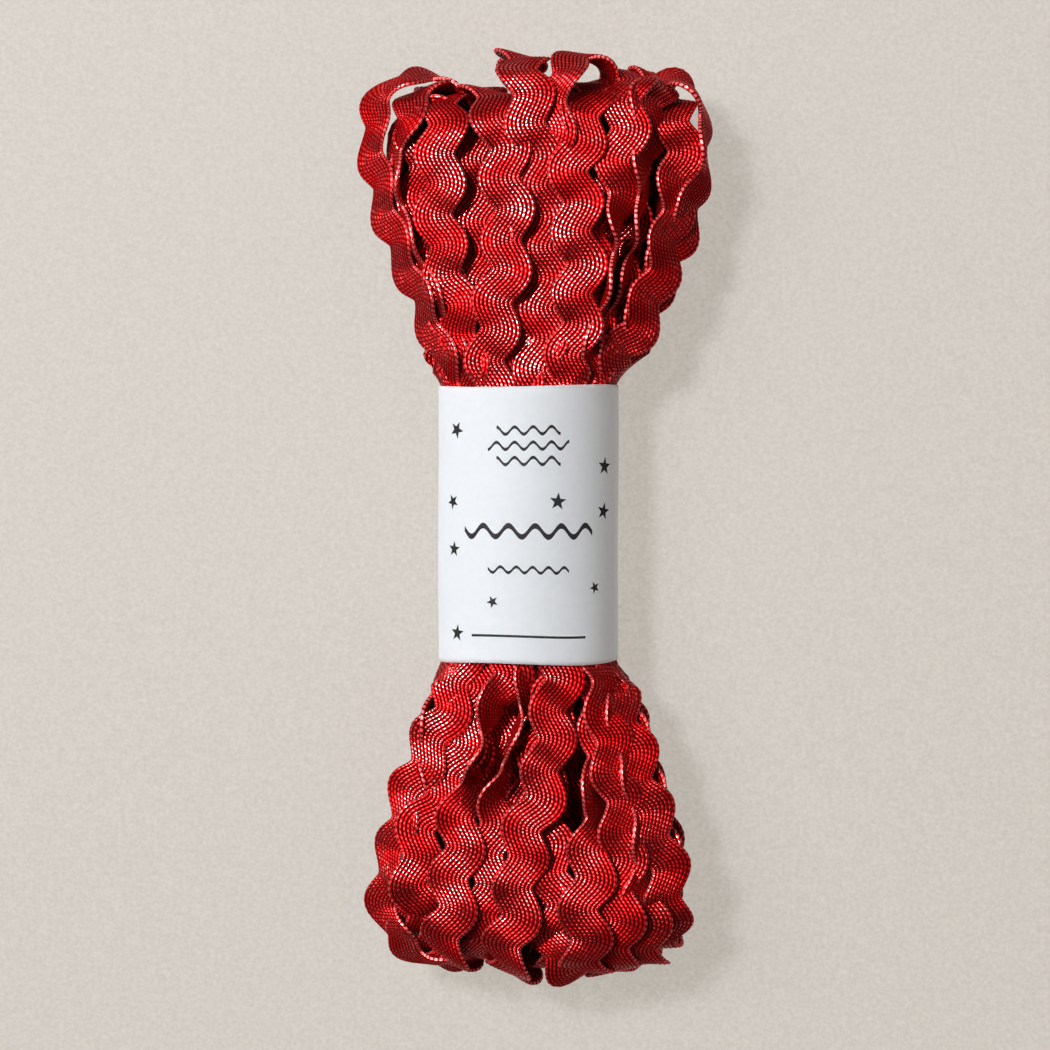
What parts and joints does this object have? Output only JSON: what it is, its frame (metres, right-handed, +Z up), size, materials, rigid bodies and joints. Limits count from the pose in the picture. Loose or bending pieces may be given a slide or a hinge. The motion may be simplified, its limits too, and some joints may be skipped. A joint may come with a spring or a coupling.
{
  "type": "hank of ric rac ribbon with paper band",
  "caption": "Zigzag braid wound into loops that fan out at both ends, held at the waist by an oval sleeve of paper.",
  "frame": {"origin": "on the surface that the hank lies on, under the middle of its bounding box", "axes": "+X across the hank, +Y from the lower fan to the upper fan, +Z up, out of the front face of the paper band"},
  "size_m": [0.0622, 0.1609, 0.0309],
  "materials": {
    "ric_rac": "woven metallic and polyester braid",
    "paper": "matt printed paper"
  },
  "bodies": {
    "root": {"hank": "ric_rac", "paper_band": "paper"}
  },
  "joints": []
}
